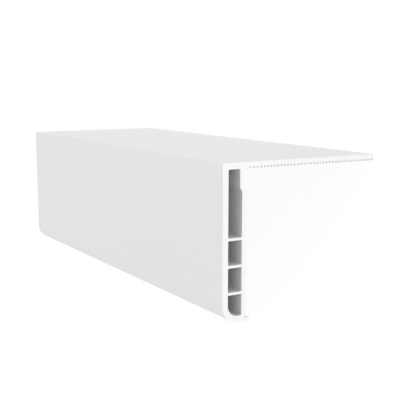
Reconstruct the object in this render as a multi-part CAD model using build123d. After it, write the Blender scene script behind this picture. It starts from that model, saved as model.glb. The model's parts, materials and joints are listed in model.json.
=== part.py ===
from build123d import *
from math import atan2, degrees
import os

# A short cut length of white plastic cover trim, extruded in one piece.
# Its section is an angle: a thin flange with a grooved inner face, and a hollow leg with ribs.
# The section is drawn as installed: the first coordinate runs from the leg's front face towards
# the flange's tip, and the second is zero on the flange's outer face and falls to the leg's foot.
# All sizes are in millimetres.

# Flange
sample_length = 192.0
flange_width = 70.0
flange_thickness = 2.4
groove_pitch = 1.5
groove_mouth = 1.0
groove_depth = 0.85
root_land = 2.5
tip_land = 1.3

# Leg, outside
leg_height = 58.4
leg_depth = 10.0
nose_radius = 6.5
step_top = 8.0
step_height = 1.5
step_offset = 1.0
lip_projection = 1.7
lip_thickness = 1.0

# Leg, inside
front_wall = 2.4
back_wall = 1.8
upper_back_wall = 1.7
foot_wall = 2.3
inner_step_drop = 1.1
rib_count = 3
rib_thickness = 1.0
foot_chamber_height = 8.0
middle_chamber_height = 9.0

# Small roundings that the die leaves
edge_radius = 0.3
inner_corner_radius = 0.3

# Largest rounding that fits, as a share of the lip's thickness and of the chamber's width
lip_rounding_share = 0.45
chamber_rounding_share = 0.9

# Places that follow from the sizes above
upper_leg_depth = leg_depth - step_offset
step_bottom = step_top + step_height
lip_tip = leg_depth + lip_projection
tip_radius = min(edge_radius, lip_rounding_share * lip_thickness)
chamber_floor = foot_wall - leg_height
chamber_back = leg_depth - back_wall
upper_chamber_back = upper_leg_depth - upper_back_wall


def rounded(face, corners, radius):
    """The face with the named corners rounded."""
    picked = [face.vertices().sort_by_distance((*corner, 0))[0] for corner in corners]
    return fillet(picked, radius)


def leg_outline():
    """Leg without its hollows: the upper part is set back by a small sloped step."""
    return Polygon(
        (0, 0),
        (0, -leg_height),
        (leg_depth, -leg_height),
        (leg_depth, -step_bottom),
        (upper_leg_depth, -step_top),
        (upper_leg_depth, 0),
        align=None,
    )


def lip_outline():
    """Thin lip that runs out behind the leg, flush with its foot."""
    return Pos(leg_depth, -leg_height) * Rectangle(
        lip_projection, lip_thickness, align=(Align.MIN, Align.MIN)
    )


def flange_outline():
    """Flat flange from the leg's front face to the tip."""
    return Rectangle(flange_width, flange_thickness, align=(Align.MIN, Align.MAX))


def outer_shape():
    """Leg, lip and flange in one, with the nose and the small edges rounded."""
    shape = leg_outline() + flange_outline() + lip_outline()
    shape = rounded(shape, [(0, -leg_height)], nose_radius)
    tips = [
        (flange_width, 0),
        (flange_width, -flange_thickness),
        (lip_tip, lip_thickness - leg_height),
        (lip_tip, -leg_height),
    ]
    shape = rounded(shape, tips, tip_radius)
    shape = rounded(shape, [(0, 0)], edge_radius)
    inner_corners = [
        (upper_leg_depth, -flange_thickness),
        (upper_leg_depth, -step_top),
        (leg_depth, -step_bottom),
        (leg_depth, lip_thickness - leg_height),
    ]
    return rounded(shape, inner_corners, inner_corner_radius)


def grooves():
    """Fine V grooves along the flange's inner face, which give an adhesive its grip.

    The last one's centre is a land from the tip, and the first one's at least a land from the leg.
    """
    groove = Polygon(
        (-groove_mouth / 2, 0),
        (groove_mouth / 2, 0),
        (0, groove_depth),
        align=None,
    )
    last = flange_width - tip_land
    count = 1 + int((last - upper_leg_depth - root_land) / groove_pitch)
    return [Pos(last - i * groove_pitch, -flange_thickness) * groove for i in range(count)]


def foot_chamber():
    """Lowest chamber, whose front corner follows the rounded nose."""
    width = chamber_back - front_wall
    chamber = Rectangle(width, foot_chamber_height, align=(Align.MIN, Align.MIN))
    largest = chamber_rounding_share * width
    chamber = rounded(chamber, [(0, 0)], min(nose_radius - front_wall, largest))
    sharp_corners = [(width, 0), (width, foot_chamber_height), (0, foot_chamber_height)]
    return Pos(front_wall, chamber_floor) * rounded(chamber, sharp_corners, inner_corner_radius)


def middle_chambers():
    """Equal chambers above the lowest one, each on its rib."""
    chamber = RectangleRounded(
        chamber_back - front_wall,
        middle_chamber_height,
        inner_corner_radius,
        align=(Align.MIN, Align.MIN),
    )
    first = chamber_floor + foot_chamber_height + rib_thickness
    pitch = middle_chamber_height + rib_thickness
    return [Pos(front_wall, first + i * pitch) * chamber for i in range(rib_count - 1)]


def top_chamber():
    """Tall chamber that takes the rest of the leg, up to the flange, and follows the step."""
    middle_chambers_height = (rib_count - 1) * middle_chamber_height
    floor = chamber_floor + foot_chamber_height + middle_chambers_height + rib_count * rib_thickness
    chamber = Polygon(
        (front_wall, -flange_thickness),
        (front_wall, floor),
        (chamber_back, floor),
        (chamber_back, -step_bottom - inner_step_drop),
        (upper_chamber_back, -step_top - inner_step_drop),
        (upper_chamber_back, -flange_thickness),
        align=None,
    )
    return fillet(chamber.vertices(), inner_corner_radius)


def section():
    """Whole section: the outer shape less its chambers and grooves."""
    return outer_shape() - [foot_chamber(), *middle_chambers(), top_chamber()] - grooves()


def resting(solid):
    """Turn the trim so that its lip and its flange's tip both touch the floor, ridge up."""
    rise = leg_height - flange_thickness
    reach = flange_width - lip_tip
    turned = Rot(X=-degrees(atan2(rise, reach))) * solid
    box = turned.bounding_box()
    return Pos(-box.center().X, -box.center().Y, -box.min.Z) * turned


trim = resting(extrude(Plane.YZ * section(), sample_length))

os.makedirs("parts", exist_ok=True)
export_step(trim, "parts/cover_trim.step")
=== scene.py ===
import bpy
import bmesh
import json
from math import atan2, radians
from mathutils import Euler, Matrix, Vector


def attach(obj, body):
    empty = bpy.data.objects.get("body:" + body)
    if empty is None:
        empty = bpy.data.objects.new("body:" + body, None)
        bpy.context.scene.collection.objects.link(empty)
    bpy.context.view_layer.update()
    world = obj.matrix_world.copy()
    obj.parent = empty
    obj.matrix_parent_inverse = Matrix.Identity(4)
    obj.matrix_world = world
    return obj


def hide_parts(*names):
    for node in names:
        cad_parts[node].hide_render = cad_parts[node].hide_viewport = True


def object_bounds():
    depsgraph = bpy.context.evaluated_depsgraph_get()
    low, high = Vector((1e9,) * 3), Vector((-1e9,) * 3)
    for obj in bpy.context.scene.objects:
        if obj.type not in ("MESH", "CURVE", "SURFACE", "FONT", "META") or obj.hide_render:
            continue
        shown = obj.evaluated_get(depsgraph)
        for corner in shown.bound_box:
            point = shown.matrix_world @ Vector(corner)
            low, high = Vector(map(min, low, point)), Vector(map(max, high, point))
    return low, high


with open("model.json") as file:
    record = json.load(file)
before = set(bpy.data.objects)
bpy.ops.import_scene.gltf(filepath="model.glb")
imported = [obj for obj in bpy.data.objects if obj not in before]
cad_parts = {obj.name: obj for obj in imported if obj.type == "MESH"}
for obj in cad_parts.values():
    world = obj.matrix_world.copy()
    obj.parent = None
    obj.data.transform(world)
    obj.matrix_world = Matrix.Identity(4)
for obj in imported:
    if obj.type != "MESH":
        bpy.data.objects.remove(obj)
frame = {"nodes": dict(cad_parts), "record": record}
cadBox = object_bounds()
mm = 0.001  # scene units are metres

# The trim stands like a tent, so everything drawn "as fitted" is turned by this lean
wallFace = next(m for m in frame["record"]["mounts"] if m["name"] == "leg_wall_face")
lean = atan2(-wallFace["axis"][2], wallFace["axis"][1])
asFitted = Matrix.Rotation(-lean, 4, "X")  # fitted position to resting position

# The camera and the softbox are placed from the near end of the ridge between flange and leg
ridge = {
    "legDepth": 10.0,  # mm from the ridge to the wall face, across the leg
    "wallFaceDepth": 33.45,  # mm from the ridge down to the wall face's middle
}


def fromRidgeEnd(offset):
    # offset is in mm, as fitted: along the ridge past its near end, towards the flange's tip, and up
    toWallFace = Vector((0, ridge["legDepth"], -ridge["wallFaceDepth"])) * mm
    ridgeEnd = Vector(wallFace["pos_m"]) - asFitted @ toWallFace
    ridgeEnd.x = cadBox[1].x
    return ridgeEnd + asFitted @ (Vector(offset) * mm)


def hexToLinear(hexColour):
    channels = [int(hexColour[i:i + 2], 16) / 255 for i in (1, 3, 5)]
    linear = [c / 12.92 if c <= 0.04045 else ((c + 0.055) / 1.055) ** 2.4 for c in channels]
    return (*linear, 1.0)


def addNode(tree, kind, settings=None, inputs=None):
    node = tree.nodes.new(kind)
    for name, value in (settings or {}).items():
        setattr(node, name, value)
    for socket, value in (inputs or {}).items():
        if isinstance(value, bpy.types.NodeSocket):
            tree.links.new(value, node.inputs[socket])
        else:
            node.inputs[socket].default_value = value
    return node


def newMaterial(name):
    material = bpy.data.materials.new(name)
    material.use_nodes = True
    material.node_tree.nodes.clear()
    return material, material.node_tree


# Rigid unplasticised PVC, extruded: the polished die leaves a smooth satin skin with
# faint lines that run along the length, and a slight ripple from the calibrator
extrudedUpvc = {
    "shades": ("#ECECEC", "#EFEFEF"),  # in and between the die lines
    "roughness": 0.37,
    "roughnessSpread": 0.04,  # each way, from line to line
    "ior": 1.54,
    "specular": 0.3,  # pigment and lubricant in the skin dull its shine
    "dieLineSpacing": 0.5,  # mm between lines, drawn coarse so that they can show
    "dieLineLength": 260.0,  # mm along which a line fades in and out
    "dieLineHeight": 0.004,  # mm
    "noiseMiddle": (0.3, 0.7),  # the noise seldom leaves these, so they are stretched to 0 and 1
    "rippleSize": 14.0,  # mm
    "rippleHeight": 0.012,  # mm
}


def shadeBetween(tree, pattern, finish):
    # The mix node's sockets 6 and 7 are its two colours, and its output 2 is the mixed one
    mixed = addNode(tree, "ShaderNodeMix", {"data_type": "RGBA"}, {
        "Factor": pattern, 6: hexToLinear(finish["shades"][0]), 7: hexToLinear(finish["shades"][1])})
    return mixed.outputs[2]


def extrudedUpvcMaterial(name, finish):
    material, tree = newMaterial(name)
    place = addNode(tree, "ShaderNodeTexCoord").outputs["Object"]
    along = 1 / (finish["dieLineLength"] * mm)
    across = 1 / (finish["dieLineSpacing"] * mm)
    stretched = addNode(tree, "ShaderNodeMapping", inputs={
        "Vector": place, "Scale": (along, across, across)})
    dieLines = addNode(tree, "ShaderNodeTexNoise", inputs={
        "Vector": stretched.outputs["Vector"], "Scale": 1.0, "Detail": 3.0, "Roughness": 0.6})
    ripple = addNode(tree, "ShaderNodeTexNoise", inputs={
        "Vector": place, "Scale": 1 / (finish["rippleSize"] * mm), "Detail": 2.0, "Roughness": 0.4})
    rippleBump = addNode(tree, "ShaderNodeBump", inputs={
        "Height": ripple.outputs["Fac"], "Strength": 1.0, "Distance": finish["rippleHeight"] * mm})
    lineBump = addNode(tree, "ShaderNodeBump", inputs={
        "Height": dieLines.outputs["Fac"], "Strength": 1.0, "Distance": finish["dieLineHeight"] * mm,
        "Normal": rippleBump.outputs["Normal"]})
    lines = addNode(tree, "ShaderNodeMapRange", inputs={
        "Value": dieLines.outputs["Fac"], "From Min": finish["noiseMiddle"][0],
        "From Max": finish["noiseMiddle"][1]})
    sheen = addNode(tree, "ShaderNodeMapRange", inputs={
        "Value": lines.outputs["Result"], "To Min": finish["roughness"] - finish["roughnessSpread"],
        "To Max": finish["roughness"] + finish["roughnessSpread"]})
    shader = addNode(tree, "ShaderNodeBsdfPrincipled", inputs={
        "Base Color": shadeBetween(tree, lines.outputs["Result"], finish), "IOR": finish["ior"],
        "Specular IOR Level": finish["specular"], "Roughness": sheen.outputs["Result"],
        "Normal": lineBump.outputs["Normal"]})
    addNode(tree, "ShaderNodeOutputMaterial", inputs={"Surface": shader.outputs["BSDF"]})
    return material


# The inner walls cool in air, away from the calibrator, so they are rougher and duller than the outside
# Their darker shades are painted shade: they stand in for the dark deep inside the chambers, whose walls
# are the same white
chamberUpvcPaintedShade = dict(extrudedUpvc, shades=("#D7D7D7", "#DDDDDD"), roughness=0.55, dieLineHeight=0.006)

# The ends are cut with a fine circular saw: matt, with shallow arcs one tooth-step apart
sawnUpvc = {
    "shades": ("#F1F1F1", "#F7F7F7"),  # in and between the saw's marks
    "roughness": 0.75,
    "ior": 1.54,
    "specular": 0.2,
    "bladeRadius": 125.0,  # mm
    "toothStep": 0.9,  # mm, drawn coarse so that it can show
    "markHeight": 0.006,  # mm
    "grainSize": 0.25,  # mm
    "grainHeight": 0.004,  # mm
}


def sawnUpvcMaterial(name, finish):
    material, tree = newMaterial(name)
    place = addNode(tree, "ShaderNodeTexCoord").outputs["Object"]
    hub = (0, 0, finish["bladeRadius"] * mm)  # the blade comes down from above
    fromHub = addNode(tree, "ShaderNodeMapping", inputs={"Vector": place, "Location": [-v for v in hub]})
    # The wave texture turns by twenty radians in one unit, so one ring of it is this wide
    ringWidth = 0.314
    arcs = addNode(tree, "ShaderNodeTexWave", {"wave_type": "RINGS", "rings_direction": "X"}, {
        "Vector": fromHub.outputs["Vector"], "Scale": ringWidth / (finish["toothStep"] * mm),
        "Distortion": 0.6, "Detail": 2.0, "Detail Scale": 1.5})
    grain = addNode(tree, "ShaderNodeTexNoise", inputs={
        "Vector": place, "Scale": 1 / (finish["grainSize"] * mm), "Detail": 2.0})
    grainBump = addNode(tree, "ShaderNodeBump", inputs={
        "Height": grain.outputs["Fac"], "Strength": 1.0, "Distance": finish["grainHeight"] * mm})
    arcBump = addNode(tree, "ShaderNodeBump", inputs={
        "Height": arcs.outputs["Fac"], "Strength": 1.0, "Distance": finish["markHeight"] * mm,
        "Normal": grainBump.outputs["Normal"]})
    shader = addNode(tree, "ShaderNodeBsdfPrincipled", inputs={
        "Base Color": shadeBetween(tree, arcs.outputs["Fac"], finish), "IOR": finish["ior"],
        "Specular IOR Level": finish["specular"], "Roughness": finish["roughness"],
        "Normal": arcBump.outputs["Normal"]})
    addNode(tree, "ShaderNodeOutputMaterial", inputs={"Surface": shader.outputs["BSDF"]})
    return material


# Trim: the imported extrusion, welded, with the sharp saw cuts broken by a hair
trim = {
    "name": "trim_extrusion",
    "weldDistance": 0.002,  # mm
    "flatAngle": 0.5,  # degrees, under which two facets are one flat face
    "cutEndNormal": 0.9,  # a face is a cut end if its normal reaches further than this along X
    "brokenEdge": 0.03,  # mm
    "smoothAngle": 30.0,  # degrees, over which an edge shows sharp
    "finishes": {"skin": 0, "sawnEnd": 1, "chamber": 2},  # material indexes, in the order they are added
}


def isCutEnd(face):
    return abs(face.normal.x) > trim["cutEndNormal"]


def skins(bm):
    # The long faces fall into separate tubes, here largest first: the outer skin, then each chamber
    unseen = {face for face in bm.faces if not isCutEnd(face)}
    tubes = []
    while unseen:
        tube = [unseen.pop()]
        for face in tube:  # the neighbours join the tube as it is walked, and are then walked too
            neighbours = {other for edge in face.edges for other in edge.link_faces} & unseen
            unseen -= neighbours
            tube.extend(neighbours)
        tubes.append(tube)
    return sorted(tubes, key=lambda tube: sum(face.calc_area() for face in tube), reverse=True)


def breakSawnEdges(bm):
    rims = [edge for edge in bm.edges if sum(isCutEnd(face) for face in edge.link_faces) == 1]
    bmesh.ops.bevel(bm, geom=rims, affect="EDGES", offset=trim["brokenEdge"] * mm, segments=1,
                    profile=0.5, material=-1)


def giveFinishes(bm):
    chambers = skins(bm)[1:]
    finishes = trim["finishes"]
    for face in bm.faces:
        face.material_index = finishes["sawnEnd"] if isCutEnd(face) else finishes["skin"]
        face.smooth = not isCutEnd(face)
    for tube in chambers:
        for face in tube:
            face.material_index = finishes["chamber"]
    print("finishes: skin, sawn ends and", len(chambers), "chambers")


def makeTrim():
    bm = bmesh.new()
    bm.from_mesh(frame["nodes"]["cover_trim"].data)
    bmesh.ops.remove_doubles(bm, verts=bm.verts, dist=trim["weldDistance"] * mm)
    bmesh.ops.dissolve_limit(bm, angle_limit=radians(trim["flatAngle"]), verts=bm.verts, edges=bm.edges,
                             delimit={"NORMAL"})
    breakSawnEdges(bm)
    giveFinishes(bm)
    mesh = bpy.data.meshes.new(trim["name"])
    bm.to_mesh(mesh)
    bm.free()
    mesh.materials.append(extrudedUpvcMaterial("extruded_upvc_white", extrudedUpvc))
    mesh.materials.append(sawnUpvcMaterial("sawn_upvc_white", sawnUpvc))
    # the chambers' material, its darker colour a painted shade
    mesh.materials.append(extrudedUpvcMaterial("chamber_upvc_painted_shade", chamberUpvcPaintedShade))
    mesh.set_sharp_from_angle(angle=radians(trim["smoothAngle"]))
    piece = bpy.data.objects.new(trim["name"], mesh)
    bpy.context.scene.collection.objects.link(piece)
    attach(piece, "root")
    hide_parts("cover_trim")
    print("trim:", len(mesh.polygons), "faces")


makeTrim()


# Floor: plain white paper. It shows white with only a faint shadow on it, and it lights the trim
# as plain paper does
floor = {
    "size": 12.0,  # m
    "colour": "#F0F0F0",
    "shadowShare": 0.05,  # how much is shown of the light and shadow that fall on it
    "ownLight": 0.96,  # the rest of its white
}


def seenByCamera(tree):
    # 1 for what the camera sees, straight or in glossy and clear surfaces, and 0 for all other light
    path = addNode(tree, "ShaderNodeLightPath")
    seen = path.outputs["Is Camera Ray"]
    for kind in ("Is Glossy Ray", "Is Transmission Ray"):
        either = addNode(tree, "ShaderNodeMath", {"operation": "MAXIMUM"}, {0: seen, 1: path.outputs[kind]})
        seen = either.outputs["Value"]
    return seen


def whitePaperMaterial(name):
    material, tree = newMaterial(name)
    plain = addNode(tree, "ShaderNodeBsdfDiffuse", inputs={"Color": hexToLinear(floor["colour"])})
    share = floor["shadowShare"]
    faint = addNode(tree, "ShaderNodeBsdfDiffuse", inputs={"Color": (share, share, share, 1)})
    glow = addNode(tree, "ShaderNodeEmission", inputs={"Strength": floor["ownLight"]})
    shown = addNode(tree, "ShaderNodeAddShader", inputs={
        0: faint.outputs["BSDF"], 1: glow.outputs["Emission"]})
    mixed = addNode(tree, "ShaderNodeMixShader", inputs={
        "Fac": seenByCamera(tree), 1: plain.outputs["BSDF"], 2: shown.outputs["Shader"]})
    addNode(tree, "ShaderNodeOutputMaterial", inputs={"Surface": mixed.outputs["Shader"]})
    return material


def makeFloor():
    bm = bmesh.new()
    bmesh.ops.create_grid(bm, x_segments=1, y_segments=1, size=floor["size"] / 2)
    mesh = bpy.data.meshes.new("studio_floor")
    bm.to_mesh(mesh)
    bm.free()
    mesh.materials.append(whitePaperMaterial("white_paper"))
    ground = bpy.data.objects.new("studio_floor", mesh)
    bpy.context.scene.collection.objects.link(ground)
    print("floor:", floor["size"], "m square")


makeFloor()


# Soft studio light: an even white room, a broad lamp that faces the cut end, and a weak softbox in
# front of the leg, above it and past its near end, which leaves that end a little the brighter
lights = {
    "room": 0.855,  # of full white
    "endLampFrom": (1.0, 0.03, 0.05),  # direction of the lamp from the trim
    "endLampStrength": 1.105,  # W for each square metre
    "endLampSoftness": 32.0,  # degrees
    "softboxPlace": (100, -220, 150),  # mm from the ridge's near end
    "softboxSize": 200.0,  # mm
    "softboxPower": 0.035,  # W
}


def makeRoom():
    world = bpy.data.worlds.new("studio_room")
    bpy.context.scene.world = world
    world.use_nodes = True
    tree = world.node_tree
    tree.nodes.clear()
    white = (1, 1, 1, 1)
    room = addNode(tree, "ShaderNodeBackground", inputs={"Color": white, "Strength": lights["room"]})
    shown = addNode(tree, "ShaderNodeBackground", inputs={"Color": white, "Strength": 1.0})
    mixed = addNode(tree, "ShaderNodeMixShader", inputs={
        "Fac": seenByCamera(tree), 1: room.outputs["Background"], 2: shown.outputs["Background"]})
    addNode(tree, "ShaderNodeOutputWorld", inputs={"Surface": mixed.outputs["Shader"]})
    print("room:", lights["room"], "of full white")


def placeLamp(lamp, place):
    # A lamp shines along its own -Z, so its +Z points to it from the origin, under the trim's middle
    holder = bpy.data.objects.new(lamp.name, lamp)
    holder.location = place
    holder.rotation_euler = place.to_track_quat("Z", "Y").to_euler()
    holder.visible_camera = False
    holder.visible_glossy = False  # no glare on a face seen along the trim, against the lamp
    bpy.context.scene.collection.objects.link(holder)


def makeLamps():
    endLamp = bpy.data.lights.new("endLamp", "SUN")
    endLamp.energy = lights["endLampStrength"]
    endLamp.angle = radians(lights["endLampSoftness"])
    placeLamp(endLamp, Vector(lights["endLampFrom"]))
    softbox = bpy.data.lights.new("softbox", "AREA")
    softbox.energy = lights["softboxPower"]
    softbox.size = lights["softboxSize"] * mm
    placeLamp(softbox, fromRidgeEnd(lights["softboxPlace"]))
    print("lamps: end lamp and softbox")


makeRoom()
makeLamps()


# Camera: the photograph's view of the trim, given as fitted
camera = {
    "place": (245.57, -154.13, 30.05),  # mm from the ridge's near end
    "heading": 59.47,  # degrees from straight at the leg's front face
    "down": 10.09,  # degrees
    "lens": 74.87,  # mm
    "sensorWidth": 36.0,  # mm
    "shiftUp": 0.06,  # share of the frame: the photograph is framed a little above its optical centre
}


def makeCamera():
    data = bpy.data.cameras.new("photo_view")
    data.lens = camera["lens"]
    data.sensor_width = camera["sensorWidth"]
    data.shift_y = camera["shiftUp"]
    holder = bpy.data.objects.new("photo_view", data)
    turn = Euler((radians(90 - camera["down"]), 0, radians(camera["heading"]))).to_matrix().to_4x4()
    place = Matrix.Translation(fromRidgeEnd(camera["place"]))
    holder.matrix_world = place @ asFitted @ turn
    bpy.context.scene.collection.objects.link(holder)
    bpy.context.scene.camera = holder
    print("camera:", [round(v, 4) for v in holder.location])


makeCamera()

bpy.context.scene.view_settings.view_transform = "Standard"
